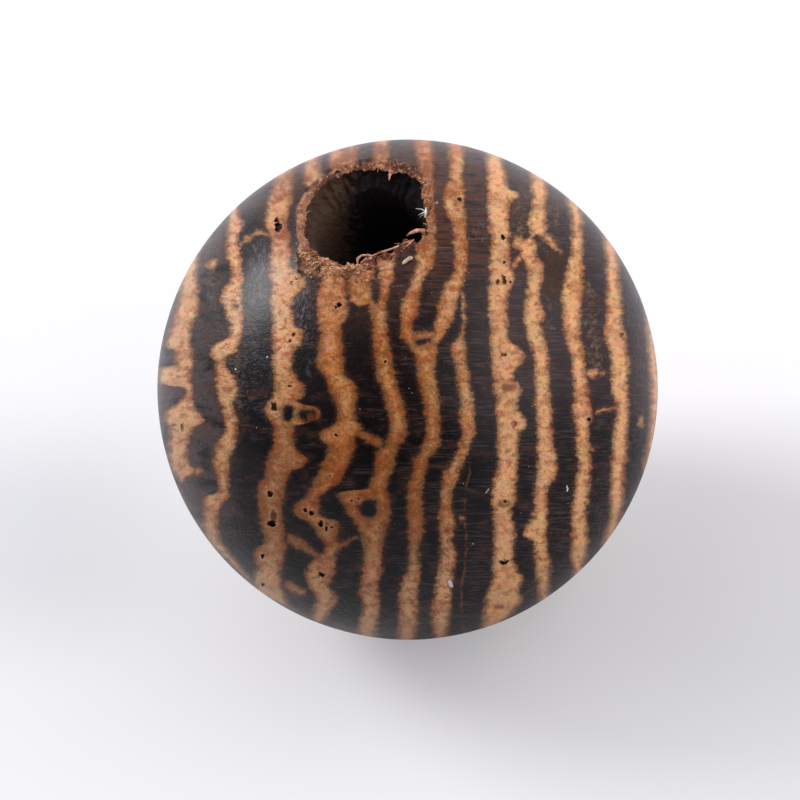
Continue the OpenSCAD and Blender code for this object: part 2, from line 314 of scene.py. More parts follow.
class BeadFinish(bpy.types.PropertyGroup):
    """Colours of the wood, the torn mouth and what lies on it."""

    # pale layers
    pale_wood: tint("Pale wood", "Pale layers", (0.60, 0.22, 0.055))
    beige_wood: tint("Beige wood", "Bleached parts of the pale layers", (0.82, 0.45, 0.24))
    warm_wood: tint("Warm wood", "Deeper patches of the pale layers", (0.27, 0.075, 0.022))
    pale_fleck: tint("Pale fleck", "Flecks in the pale layers", (0.74, 0.47, 0.28))
    pale_patch: tint("Pale patch", "Larger light patches", (0.76, 0.385, 0.205))
    pale_tissue: tint("Pale tissue", "Smaller light patches", (0.68, 0.345, 0.175))
    brown_tan_and_shade: tint("Brown tan and shade", "Pale layers low on the left", (0.255, 0.098, 0.036))
    orange_tan: tint("Orange tan", "Pale layers near the middle", (0.68, 0.245, 0.058))
    rust_tan: tint("Rust tan", "Lower part of the middle", (0.38, 0.100, 0.016))
    foot_tan: tint("Foot tan", "Pale layers at the lower edge", (0.77, 0.41, 0.20))
    golden_tan: tint("Golden tan", "Pale layers on the right", (0.93, 0.445, 0.165))
    amber_tan: tint("Amber tan", "Pale layers high on the right", (0.92, 0.445, 0.165))
    grey_tan: tint("Grey tan", "Pale layers at the left edge", (0.42, 0.255, 0.140))
    stained_tan: tint("Stained tan", "Pale layers stained round the mouth", (0.42, 0.130, 0.036))
    scorched_tan: tint("Scorched tan", "Pale layers scorched at the mouth", (0.22, 0.070, 0.030))
    crack: tint("Crack", "Fine cracks in the pale layers", (0.15, 0.048, 0.020))
    stained_edge: tint("Stained edge", "Stained edges of the pale layers", (0.26, 0.064, 0.012))
    soft_edge: tint("Soft edge", "Thin edges of the pale layers", (0.17, 0.105, 0.050))
    # dark layers
    dark_wood: tint("Dark wood", "Dark layers on the left", (0.0048, 0.0046, 0.0085))
    brown_dark: tint("Brown dark", "Dark layers in the middle", (0.0078, 0.0026, 0.0024))
    plum_dark: tint("Plum dark", "Dark layers on the right", (0.0280, 0.0130, 0.0165))
    black_dark: tint("Black dark", "Dark layers in the lower half", (0.0034, 0.0018, 0.0030))
    edge_reflection_dark: tint("Edge reflection dark", "Painted reflection on dark layers near the edge", (0.078, 0.051, 0.050))
    stained_dark: tint("Stained dark", "Dark layers stained round the mouth", (0.050, 0.015, 0.010))
    red_wood: tint("Red wood", "Reddish parts of the dark layers", (0.075, 0.024, 0.014))
    speck_and_glint: tint("Grey speck and glint", "Fine specks in the dark layers", (0.045, 0.040, 0.048))
    brown_speck: tint("Brown speck", "Coarse brown specks", (0.135, 0.050, 0.020))
    pale_speck: tint("Pale speck", "Coarse pale specks", (0.165, 0.120, 0.068))
    ray: tint("Ray", "Fine rays across the dark layers", (0.16, 0.100, 0.092))
    torn_line: tint("Torn line", "Torn lines beside the mouth", (0.095, 0.028, 0.014))
    painted_sheen: tint("Painted sheen", "Painted highlight over dark wood", (0.115, 0.098, 0.118))
    rust: tint("Rust", "Rusty patch in a dark layer", (0.045, 0.012, 0.004))
    # marks over both
    black_mark: tint("Black mark", "Black spots", (0.0045, 0.0042, 0.0065))
    gum: tint("Gum", "Reddish gum", (0.17, 0.035, 0.016))
    scratch: tint("Scratch", "Fine scratches in the lacquer", (0.24, 0.17, 0.13))
    dust: tint("Dust", "White dust", (0.72, 0.71, 0.68))
    painted_glint: tint("Painted glint", "Bright painted glints", (0.75, 0.72, 0.70))
    # painted shade inside the open vessels
    vessel: tint("Vessel", "Inside of an open vessel, painted dark as shade", (0.018, 0.010, 0.006))
    vessel_rim: tint("Vessel rim", "Worn rim of an open vessel", (0.62, 0.40, 0.25))
    # the torn mouth and the bore
    torn_wood: tint("Torn wood", "Light fibres of the torn mouth", (0.72, 0.37, 0.25))
    torn_pale: tint("Torn pale", "Raw wood of the pale layers", (0.43, 0.175, 0.090))
    torn_dark: tint("Torn dark", "Raw wood of the dark layers", (0.105, 0.042, 0.030))
    torn_rim: tint("Torn rim", "Raw wood on the left of the mouth", (0.56, 0.26, 0.175))
    torn_pile: tint("Torn pile", "Piled tissue at the lower left", (0.52, 0.26, 0.15))
    torn_heart: tint("Torn heart", "Orange shreds", (0.50, 0.215, 0.085))
    torn_hollow_shade: tint("Torn hollow shade", "Painted shade in hollows between shreds", (0.060, 0.018, 0.012))
    torn_cleft_shade: tint("Torn cleft shade", "Painted shade in clefts between fibres", (0.070, 0.020, 0.012))
    torn_far_shade: tint("Torn far shade", "Raw wood on the far side, painted darker as shade", (0.105, 0.040, 0.028))
    torn_orange: tint("Torn orange", "Deep colour of the crumbs", (0.24, 0.072, 0.026))
    crumb: tint("Crumb", "Light colour of the crumbs", (0.66, 0.36, 0.19))
    lit_bore_wall: tint("Lit bore wall", "Near wall of the bore, painted as lit", (0.085, 0.048, 0.032))
    shaded_wall: tint("Shaded wall", "Wall of the bore painted dark as shade", (0.0090, 0.0062, 0.0080))
    chip: tint("Chip", "Light side of the pale chip", (0.62, 0.52, 0.40))
    chip_shade: tint("Chip shade", "Darker side of the pale chip", (0.42, 0.33, 0.24))
    lint: tint("Lint", "White lint caught on the mouth", (0.78, 0.77, 0.75))


class TableStage(bpy.types.PropertyGroup):
    """Table, lamps and camera."""

    table_colour: tint("Table colour", "Colour of the table", (0.598, 0.592, 0.630))
    table_front_shade: tint("Table front shade", "Painted shade on the table towards the viewer", (0.45, 0.45, 0.465))
    table_left_shade: tint("Table left shade", "Painted shade on the table left of the bead", (0.42, 0.43, 0.465))
    table_right_shadow: tint("Table right shadow", "Painted shadow on the table right of the bead", (0.455, 0.447, 0.480))
    table_glow: tint("Table glow", "Light that the table adds to the view", (0.97, 0.97, 1.0))
    room_light: FloatProperty(name="Room light", description="Level of the even light", default=0.80)
    window_light: FloatProperty(
        name="Window light", description="Brightness of the soft lamp behind left", default=11.5
    )
    side_light: FloatProperty(
        name="Side light", description="Brightness of the soft lamp on the right", default=1.10
    )
    view_width: length("View width", "Width of the view at the bead", 12.77 * MM)
    view_distance: length("View distance", "Distance of the camera from the bead", 280 * MM)
    view_height: angle("View height", "Angle of the view above the table", 43.1)


class Value:
    """One socket of a node tree, so that shader maths reads as plain expressions."""

    def __init__(self, shader, socket):
        self.shader = shader
        self.socket = socket

    def maths(self, operation, *terms):
        return self.shader.node("ShaderNodeMath", {"operation": operation}, dict(enumerate(terms)))

    def __add__(self, other):
        return self.maths("ADD", self, other)

    def __sub__(self, other):
        return self.maths("SUBTRACT", self, other)

    def __rsub__(self, other):
        return self.maths("SUBTRACT", other, self)

    def __mul__(self, other):
        return self.maths("MULTIPLY", self, other)

    def __truediv__(self, other):
        return self.maths("DIVIDE", self, other)

    def __rtruediv__(self, other):
        return self.maths("DIVIDE", other, self)

    def __pow__(self, other):
        return self.maths("POWER", self, other)

    def __neg__(self):
        return self.maths("SUBTRACT", 0.0, self)

    def __abs__(self):
        return self.maths("ABSOLUTE", self)

    __radd__ = __add__
    __rmul__ = __mul__

    def least(self, other):
        return self.maths("MINIMUM", self, other)

    def most(self, other):
        return self.maths("MAXIMUM", self, other)

    def rise(self, low, high):
        """0 below low, 1 above high, and smooth between them."""
        return self.shader.node(
            "ShaderNodeMapRange",
            {"interpolation_type": "SMOOTHSTEP"},
            {"Value": self, "From Min": low, "From Max": high},
        )


def colour(shade):
    """A colour with its alpha, or a socket as it is."""
    return shade if isinstance(shade, Value) else (*shade, 1.0)


class Shader:
    """The nodes of one material or world."""

    def __init__(self, owner):
        owner.use_nodes = True
        self.tree = owner.node_tree
        self.tree.nodes.clear()

    def node(self, kind, settings=None, sockets=None, out=0):
        """Adds a node, with its settings and the values or links of its sockets."""
        made = self.tree.nodes.new(kind)
        for name, setting in (settings or {}).items():
            if name == "curve":
                points = made.mapping.curves[0].points
                while len(points) < len(setting):
                    points.new(0.5, 0.5)
                for point, place in zip(points, setting):
                    point.location = place
                    point.handle_type = "AUTO_CLAMPED"
                made.mapping.update()
            else:
                setattr(made, name, setting)
        for name, worth in (sockets or {}).items():
            if isinstance(worth, Value):
                self.tree.links.new(worth.socket, made.inputs[name])
            else:
                made.inputs[name].default_value = worth
        return Value(self, made.outputs[out]) if made.outputs else None

    def vector(self, operation, *terms, out=0):
        return self.node("ShaderNodeVectorMath", {"operation": operation}, dict(enumerate(terms)), out)

    def along(self, place, axis):
        """How far a place lies along an axis."""
        return self.vector("DOT_PRODUCT", place, tuple(axis), out=1)

    def distance(self, place, other):
        return self.vector("DISTANCE", place, other, out=1)

    def point(self, x, y, z=0.0):
        return self.node("ShaderNodeCombineXYZ", None, {0: x, 1: y, 2: z})

    def mix(self, factor, first, second):
        """A colour between first and second."""
        return self.node(
            "ShaderNodeMix", {"data_type": "RGBA"}, {0: factor, 6: colour(first), 7: colour(second)}, 2
        )

    def glaze(self, base, *coats):
        """A base with coats over it in turn, each as how much of it shows and its colour."""
        for cover, shade in coats:
            base = self.mix(cover, base, shade)
        return base

    def cloud(self, place, scale, detail=2.0, roughness=0.5, out=0):
        """Smooth noise from 0 to 1, with a scale for each direction; out 1 has three in one."""
        return self.node(
            "ShaderNodeTexNoise",
            None,
            {"Vector": self.vector("MULTIPLY", place, scale), "Scale": 1.0, "Detail": detail,
             "Roughness": roughness},
            out,
        )

    def cells(self, place, scale):
        """Distance to the nearest of many scattered points."""
        return self.node(
            "ShaderNodeTexVoronoi", None, {"Vector": self.vector("MULTIPLY", place, scale), "Scale": 1.0}
        )

    def attribute(self, name):
        return self.node("ShaderNodeAttribute", {"attribute_name": name}, None, 2)

    def surface(self, sockets):
        """Ends a material with one surface."""
        made = self.node("ShaderNodeBsdfPrincipled", None, sockets)
        self.node("ShaderNodeOutputMaterial", None, {"Surface": made})


def grain_axes(form):
    """Unit vectors across the layers, up along them, and along the grain."""
    tilt, turn = form.grain_tilt, form.layer_turn
    grain = Vector((0.0, -math.sin(tilt), math.cos(tilt)))
    level = Vector((1.0, 0.0, 0.0))
    rising = Vector((0.0, math.cos(tilt), math.sin(tilt)))
    across = level * math.cos(turn) - rising * math.sin(turn)
    up = level * math.sin(turn) + rising * math.cos(turn)
    return across, up, grain


# --------------------------------------------------------------------------------- the wood

SPAN = 8.4  # mm that an edge curve covers
SPOT_SIZE = 3  # numbers that set a round spot
MOUTH_STAIN = (-0.70, 2.70)  # middles of zones on the end grain, in mm
SCORCH = (-0.78, 2.80)
TORN_SIDE = (0.70, 2.80)
RUST_PATCH = (2.32, 1.80)
GLOW = (-0.6, -0.4)
HUE_SHIFTS = ((13.0, 0.34), (3.0, 0.20))  # scale and strength


def share(place):
    """A place in mm as a curve's own share of the span."""
    return min(max(place / SPAN + 0.5, 0.0), 1.0)


def inside_layer(s, across, up, edges):
    """How far inside a pale layer a place lies, in shares of the span."""
    sides = []
    for side in (1, 2):
        curve = [(share(edge[0]), share(edge[side])) for edge in edges]
        sides.append(s.node("ShaderNodeFloatCurve", {"curve": curve}, {"Value": up}))
    return (across - sides[0]).least(sides[1] - across)


def inside_mark(s, place, mark):
    """How far inside a spot or a streak a place lies, in mm."""
    if len(mark) == SPOT_SIZE:
        return mark[2] - s.distance(place, (mark[0], mark[1], 0.0))
    start = Vector((mark[0], mark[1], 0.0))
    run = Vector((mark[2], mark[3], 0.0)) - start
    offset = s.vector("SUBTRACT", place, tuple(start))
    passed = s.node("ShaderNodeClamp", None, {0: s.along(offset, run / run.length_squared)})
    nearest = s.vector("MULTIPLY", tuple(run), s.point(passed, passed, passed))
    return mark[4] - s.distance(offset, nearest)


def most_of(values):
    """The largest of several values."""
    best = None
    for value in values:
        best = value if best is None else best.most(value)
    return best


def wood_places(s, form):
    """The place in the wood in mm, as across, up and grain."""
    place = s.node("ShaderNodeTexCoord", None, None, "Object")
    return [s.along(place, axis / MM) for axis in grain_axes(form)]


class Wood:
    """The solid banded wood: the fields that its colours are mixed by, and the colours."""

    def __init__(self, s, form):
        self.s = s
        across, up, grain = self.across, self.up, self.grain = wood_places(s, form)
        place = self.place = s.point(across, up, grain)
        self.flat = self.wandered()
        axes = ((1 / SPAN, 0, 0), (0, 1 / SPAN, 0))
        self.inner = [s.along(self.flat, axis) + 0.5 for axis in axes]

        # grit is the fine tissue seen end on, and the others are its larger and larger groups
        grit = s.cloud(place, (27.0, 27.0, 2.4), 2.0, 0.7)
        self.crumbs = s.cloud(place, (12.0, 12.0, 2.0), 2.0, 0.7)
        self.clumps = s.cloud(place, (9.0, 11.0, 0.9), 2.0, 0.6)
        self.tissue = s.cloud(place, (7.0, 8.0, 0.8), 2.0, 0.65)
        self.deep = s.cloud(place, (3.0, 4.0, 0.6), 2.0, 0.6)
        self.mottle = s.cloud(place, (2.4, 4.5, 0.45), 2.0, 0.65)
        # fine contrast fades towards the rim of the end grain
        self.even = 1 - grain.rise(0.6, 2.4)
        self.grit = grit + (0.5 - grit) * self.even * 0.75

        # how far inside the pale layers, in mm, and how much of the surface is pale
        self.pale = self.inside_pale() + (self.grit - 0.5) * 0.085 + (self.clumps - 0.5) * 0.10
        self.pale_share = self.pale.rise(-0.040 - self.even * 0.035, 0.030 + self.even * 0.035)
        self.stain = self.zone(MOUTH_STAIN, 2.1, 0.9)

    def wandered(self):
        """Across and up, as the layers wander on their way through the bead."""
        s, place = self.s, self.place
        depth = (-self.grain).rise(-0.2, 4.4)
        wander = s.cloud(place, (0.16, 0.30, 0.34), 1.0, out=1)
        shift = s.vector("MULTIPLY", s.vector("SUBTRACT", wander, (0.5, 0.5, 0.5)), (2.6, 4.5, 0.0))
        shift = s.vector("MULTIPLY", shift, s.point(depth, depth, depth))
        teeth = s.cloud(place, (3.4, 15.0, 0.5), 2.0, 0.6) - 0.5
        waves = s.cloud(place, (5.0, 6.0, 0.4), 1.0) - 0.5
        flat = s.vector("ADD", s.point(self.across, self.up), shift)
        return s.vector("ADD", flat, s.point(teeth * 0.075 + waves * 0.05, waves * -0.04))

    def inside_pale(self):
        s = self.s
        pale = most_of(inside_layer(s, *self.inner, edges) for edges in PALE_LAYERS.values()) * SPAN
        for mark in PALE_MARKS:
            pale = pale.most(inside_mark(s, self.flat, mark))
        for mark in DARK_MARKS:
            pale = pale.least(-inside_mark(s, self.flat, mark))
        return pale

    def zone(self, middle, reach, fade):
        """1 round a place on the end grain, down to 0 at its reach in mm."""
        return (reach - self.s.distance(self.flat, (*middle, 0.0))).rise(0.0, fade)

    def inside(self, marks, ragged=0.0):
        """How far inside the nearest of some marks, in mm, with a ragged edge."""
        inside = most_of(inside_mark(self.s, self.flat, mark) for mark in marks)
        return inside + (self.clumps - 0.5) * ragged if ragged else inside

    def pale_colour(self, finish):
        """Pale layers: soft tissue from orange to beige, with flecks, stains and cracks."""
        s, place, across, up, even = self.s, self.place, self.across, self.up, self.even
        grit, clumps, deep, tissue = self.grit, self.clumps, self.deep, self.tissue
        patch = s.cloud(place, (0.9, 1.0, 0.3), 1.0)
        bleached = across.rise(0.7, 1.5) * 0.9
        bleached += (-across).rise(1.6, 2.1) * (0.45 + up.rise(-0.9, 0.9) * 0.4)
        bleached += (patch - 0.5) * 2.0 + (clumps - 0.5) * 1.6 + (deep - 0.5) * 1.4
        right = across.rise(0.8, 1.6)
        # the browner lower left, partly the wood's own colour and partly painted shade, and the orange
        # middle
        low = (-up).rise(-0.8, 1.3) * across.rise(-3.0, -2.3) * (1 - across.rise(0.1, 0.9))
        glow = (-abs(across - GLOW[0])).rise(-1.5, -0.5) * (-abs(up - GLOW[1])).rise(-2.2, -0.9)
        rich = low.most(glow)
        scorched = self.zone(SCORCH, 1.70, 0.45) * up.rise(2.0, 2.5)
        edges = (1 - self.pale.rise(0.02, 0.16)) * rich * (1 - (-up).rise(2.2, 3.0) * 0.7)
        rim = 1 - self.pale.rise(0.01, 0.085)
        calm = 1 - even * 0.55 - across.rise(0.9, 1.4) * 0.20  # less contrast there
        cracks = (1 - abs(tissue - 0.47) * 45.0).rise(0.0, 1.0) * clumps.rise(0.46, 0.60)
        dots = s.cells(place, (9.0, 9.0, 1.1))
        return s.glaze(
            s.mix(bleached.rise(0.05, 1.0), finish.pale_wood, finish.beige_wood),
            (low * 0.72, finish.brown_tan_and_shade),
            (glow * 0.65, finish.orange_tan),
            (glow * (-up).rise(0.3, 1.0) * 0.60, finish.rust_tan),
            ((-up).rise(1.9, 3.2) * 0.75, finish.foot_tan),
            (right * 0.50, finish.golden_tan),
            (self.stain * (0.50 + deep.rise(0.35, 0.60) * 0.45), finish.stained_tan),
            (scorched * (0.45 + deep.rise(0.40, 0.60) * 0.40), finish.scorched_tan),
            ((-across).rise(2.4, 3.2) * 0.50, finish.grey_tan),
            (across.rise(2.2, 2.6) * up.rise(-1.6, 0.6) * 0.50, finish.amber_tan),
            ((0.49 - deep).rise(0.0, 0.10) * (0.50 - low * 0.35), finish.pale_patch),
            ((deep - 0.5).rise(0.0, 0.16) * (0.50 - even * 0.2), finish.warm_wood),
            ((0.5 - clumps).rise(0.0, 0.14) * 0.66 * calm, finish.warm_wood),
            ((tissue - 0.5).rise(0.0, 0.10) * 0.50 * (1 - low * 0.7) * (1 - self.stain * 0.4),
             finish.pale_tissue),
            (cracks * 0.50 * (1 - even), finish.crack),
            (grit.rise(0.50, 0.72) * clumps.rise(0.38, 0.62) * (0.6 - rich * 0.25 - scorched * 0.3),
             finish.pale_fleck),
            ((1 - grit).rise(0.50, 0.72) * (0.45 - right * 0.20), finish.warm_wood),
            ((1 - dots).rise(0.80, 0.96) * clumps.rise(0.40, 0.60) * 0.45 * (1 - even),
             finish.red_wood),
            (edges * 0.72, finish.stained_edge),
            (rim * 0.62, s.mix(deep.rise(0.42, 0.56), finish.soft_edge, finish.warm_wood)),
        )

    def dark_colour(self, finish):
        """Dark layers: dense wood with specks, crossed by fine rays, with painted highlights, glints and
        a painted reflection near the edge.
        """
        s, place, across, up, even = self.s, self.place, self.across, self.up, self.even
        grit, clumps, crumbs, mottle = self.grit, self.clumps, self.crumbs, self.mottle
        # painted reflection: a mottled grey haze on the dark layers near the left and upper edge
        reflecting_edge = (-across).rise(2.5, 3.1).most(up.rise(2.3, 3.4))
        speckled = self.inside(SPECKLED, 0.35).rise(-0.03, 0.08)
        # grey specks all through the dark layers; the denser ones on the left are painted glints of the
        # highlight
        left = (-across).rise(1.9, 2.3) * (-abs(up - 0.6)).rise(-1.6, -0.6)
        specks = grit.rise(0.54, 0.80) * (0.1 + (mottle - 0.4).rise(0.0, 0.3) * 0.7)
        specks += left * crumbs.rise(0.50, 0.66) * 0.8
        lines = s.cloud(place, (1.5, 24.0, 0.35), 1.0, 0.5)
        gaps = s.cloud(place, (3.0, 5.0, 0.5), 1.0)
        rays = (1 - abs(lines - 0.5) * 12.0).rise(0.0, 1.0)
        rays *= (gaps + (across.rise(-1.2, 1.2) - 0.5) * 0.16).rise(0.40, 0.66)
        hairs = s.cloud(place, (15.0, 8.0, 2.0), 2.0, 0.7)
        faint = inside_layer(s, *self.inner, FAINT_LAYER) * SPAN
        return s.glaze(
            s.mix(across.rise(-2.2, -1.2), finish.dark_wood, finish.brown_dark),
            (across.rise(0.7, 1.5), finish.plum_dark),
            ((-up).rise(-0.2, 0.8) * 0.95, finish.black_dark),
            (reflecting_edge * mottle.rise(0.32, 0.56) * 0.85, finish.edge_reflection_dark),
            (self.stain * (0.35 + clumps.rise(0.40, 0.60) * 0.45), finish.stained_dark),
            (mottle.rise(0.50, 0.80) * 0.7, finish.red_wood),
            (speckled * crumbs.rise(0.40, 0.64) * 0.75,
             s.mix(clumps.rise(0.40, 0.60), finish.brown_speck, finish.pale_speck)),
            (specks, finish.speck_and_glint),
            (self.zone(TORN_SIDE, 1.5, 0.7) * lines.rise(0.46, 0.60) * 0.9, finish.torn_line),
            (rays * (0.30 - even * 0.12), finish.ray),
            # painted highlight: grey sheen, streaked by fine hairs
            (self.inside(SHEEN_HIGHLIGHTS, 0.2).rise(-0.05, 0.12) * hairs.rise(0.44, 0.62) * 0.75,
             finish.painted_sheen),
            (self.zone(RUST_PATCH, 0.50, 0.25) * 0.8, finish.rust),
            (self.pale.rise(-0.09, -0.015) * 0.55, finish.red_wood),
            (faint.rise(-0.015, 0.015) * clumps.rise(0.40, 0.62) * 0.5, finish.warm_wood),
        )

    def colour(self, finish):
        """The layers with their gum and black spots, the shifts of hue, and the scratches, dust and
        painted glints on top.
        """
        s, place = self.s, self.place
        wood = s.glaze(
            s.mix(self.pale_share, self.dark_colour(finish), self.pale_colour(finish)),
            (self.inside(BLACK_MARKS, 0.06).rise(-0.02, 0.05), finish.black_mark),
            (self.inside(GUM, 0.1).rise(-0.03, 0.03) * 0.75, finish.gum),
        )
        for size, strength in HUE_SHIFTS:
            hue = s.cloud(place, (size, size, size * 0.12), 0.0, out=1)
            rest = 1 - strength / 2
            shift = s.vector("MULTIPLY_ADD", hue, (strength,) * 3, (rest,) * 3)
            wood = s.vector("MULTIPLY", wood, shift)
        scratched = self.inside(SCRATCHES) + (self.grit - 0.5) * 0.035
        # painted glints: scattered bright specks
        bright = s.cells(place, (5.5, 5.5, 2.0))
        return s.glaze(
            wood,
            (scratched.rise(-0.004, 0.010) * 0.32, finish.scratch),
            (self.inside(DUST).rise(-0.003, 0.004) * 0.9, finish.dust),
            ((1 - bright).rise(0.950, 0.985) * self.clumps.rise(0.36, 0.56), finish.painted_glint),
        )

    def torn_colour(self, finish, fibres, shreds):
        """Raw wood of the torn mouth, with painted shade in its hollows and on its far side."""
        across, up = self.across, self.up
        left = (-across).rise(1.40, 1.65) * up.rise(2.0, 2.3)
        pile = (-abs(across + 1.2)).rise(-0.60, -0.35) * (-up).rise(-2.25, -2.05)
        return self.s.glaze(
            self.s.mix(self.pale_share, finish.torn_dark, finish.torn_pale),
            (left * 0.7, finish.torn_rim),
            (pile * 0.5, finish.torn_pile),
            ((0.50 - shreds).rise(0.0, 0.12) * 0.55, finish.torn_heart),
            # painted shade in the hollows between shreds and the clefts between fibres
            ((shreds - 0.50).rise(0.0, 0.10) * (0.75 - left * 0.45 - pile * 0.35), finish.torn_hollow_shade),
            ((0.55 - fibres).rise(0.0, 0.22) * (0.70 - left * 0.3 - pile * 0.35), finish.torn_cleft_shade),
            # painted shade: darker raw wood on the far side of the mouth
            (up.rise(3.0, 3.4) * 0.45, finish.torn_far_shade),
            ((fibres - 0.5).rise(0.03, 0.20) * 0.55, finish.torn_wood),
        )


def wood_material(form, finish):
    """Lacquered wood, raw where it is torn; in the bore, painted shade, with a painted lit wall on the
    left.
    """
    material = bpy.data.materials.new("Lacquered wood")
    s = Shader(material)
    wood = Wood(s, form)
    torn, bore, vessel = s.attribute("torn"), s.attribute("bore"), s.attribute("vessel")
    fibres = s.cloud(wood.place, (13.0, 13.0, 2.5), 2.0, 0.75)
    shreds = s.cloud(wood.place, (4.5, 6.0, 4.0), 2.0, 0.7)
    ragged = (torn + (shreds - 0.5) * 2.6 * torn * (1 - torn)).rise(0.15, 0.75)
    # painted light in the bore: lit brown on the left wall, painted shade elsewhere
    lit_wall = (-wood.across - 0.9 + (wood.clumps - 0.5) * 0.8).rise(-0.2, 0.3)
    surface = s.glaze(
        wood.colour(finish),
        (ragged, wood.torn_colour(finish, fibres, shreds)),
        (bore.rise(0.0, 0.6), s.mix(lit_wall, finish.shaded_wall, finish.lit_bore_wall)),
        (s.attribute("rim") * 0.35, finish.vessel_rim),
        # painted shade: the inside of an open vessel, darker the more open it is
        (vessel, finish.vessel),
    )
    smear = s.cloud(wood.place, (3.0, 3.0, 3.0), 1.0, 0.6)
    roughness = 0.24 + smear * 0.14 + (wood.grit - 0.5) * 0.30 + ragged * 0.4 + bore * 0.5
    height = wood.grit * 0.8 + wood.crumbs + fibres * torn * 3.2
    s.surface({
        "Base Color": surface,
        "Roughness": roughness.least(0.9).most(0.15),
        "Coat Weight": (1 - ragged) * (1 - vessel) * 0.22,
        "Coat Roughness": 0.22,
        "Normal": s.node("ShaderNodeBump", None, {"Height": height, "Distance": 0.014 * MM}),
        "Specular IOR Level": 0.10,
    })
    return material


def fibre_material(name, shade, fleck, roughness=0.75):
    """Raw splinters, chips and lint."""
    material = bpy.data.materials.new(name)
    s = Shader(material)
    place = s.node("ShaderNodeTexCoord", None, None, "Object")
    streaks = s.cloud(place, (22 / MM, 22 / MM, 5 / MM), 2.0, 0.6)
    blotch = s.cloud(place, (6.5 / MM, 6.5 / MM, 6.5 / MM), 1.0)
    s.surface({
        "Base Color": s.mix((streaks + (blotch - 0.5) * 2.0).rise(0.30, 0.70), shade, fleck),
        "Roughness": roughness,
        "Normal": s.node("ShaderNodeBump", None, {"Height": streaks, "Distance": 0.004 * MM}),
    })
    return material


# --------------------------------------------------------------------------------- the shapes

# rows of faces on the lower half, the upper half, the scuffed wood, the torn wall and the bore
LOWER_ROWS, UPPER_ROWS, SCUFF_ROWS, WALL_ROWS, BORE_ROWS = 42, 56, 22, 18, 16
# places on the unfolded ball, as shares of its way out from the middle of the map
MOUTH_SHARE, LIP_SHARE, WALL_SHARE, BORE_SHARE = 0.30, 0.235, 0.17, 0.03
# finer faces round the vessels: the cuts of an edge, and how far out from the vessel in mm
VESSEL_CUTS = ((2, 0.045), (1, 0.025), (1, 0.013))
SURFACE_DEPTH = 0.04  # mm below the ball, within which a face counts as its surface
TOP_ANGLE = 0.31  # radians, about where the scuffed wood begins

# the stage: where the lamps stand, where the room is brightest, sizes in metres, the sensor in mm
WINDOW_SIDE = (-0.664, 0.484, 0.570)
RIGHT_SIDE = (0.85, -0.42, 0.36)
BRIGHT_SIDE = (0.30, 0.35, 0.89)
WINDOW_SIZE, SIDE_SIZE, LAMP_DISTANCE, TABLE_REACH = 0.13, 0.50, 0.30, 1.2
SENSOR = 36.0
AIM = (-7.7 / 800, -10.4 / 800)  # what the camera aims at, in shares of the view
BLACK, WHITE = (0.0, 0.0, 0.0), (1.0, 1.0, 1.0, 1.0)


def turned(direction, radius, height=0.0):
    """The point at a direction in degrees, a radius from the bore's axis and a height."""
    a = math.radians(direction)
    return Vector((radius * math.cos(a), radius * math.sin(a), height))


def around(points, direction):
    """The value at a direction in degrees, eased between the points set for it."""
    direction %= 360.0
    before = [p for p in points if p[0] <= direction]
    a, low = before[-1] if before else (points[-1][0] - 360.0, points[-1][1])
    after = [p for p in points if p[0] > direction]
    b, high = after[0] if after else (points[0][0] + 360.0, points[0][1])
    return low + (high - low) * ramp(direction, a, b)


def ramp(x, low, high):
    """0 below low, 1 above high, and smooth between them."""
    t = min(max((x - low) / (high - low), 0.0), 1.0)
    return t * t * (3 - 2 * t)


def swell(point):
    """The slight unevenness of the turned ball, as a factor on a point of it."""
    unit = point.normalized()
    return 1.0 + (0.006 * noise.noise(unit * 3.1) - 0.006) / 4.0


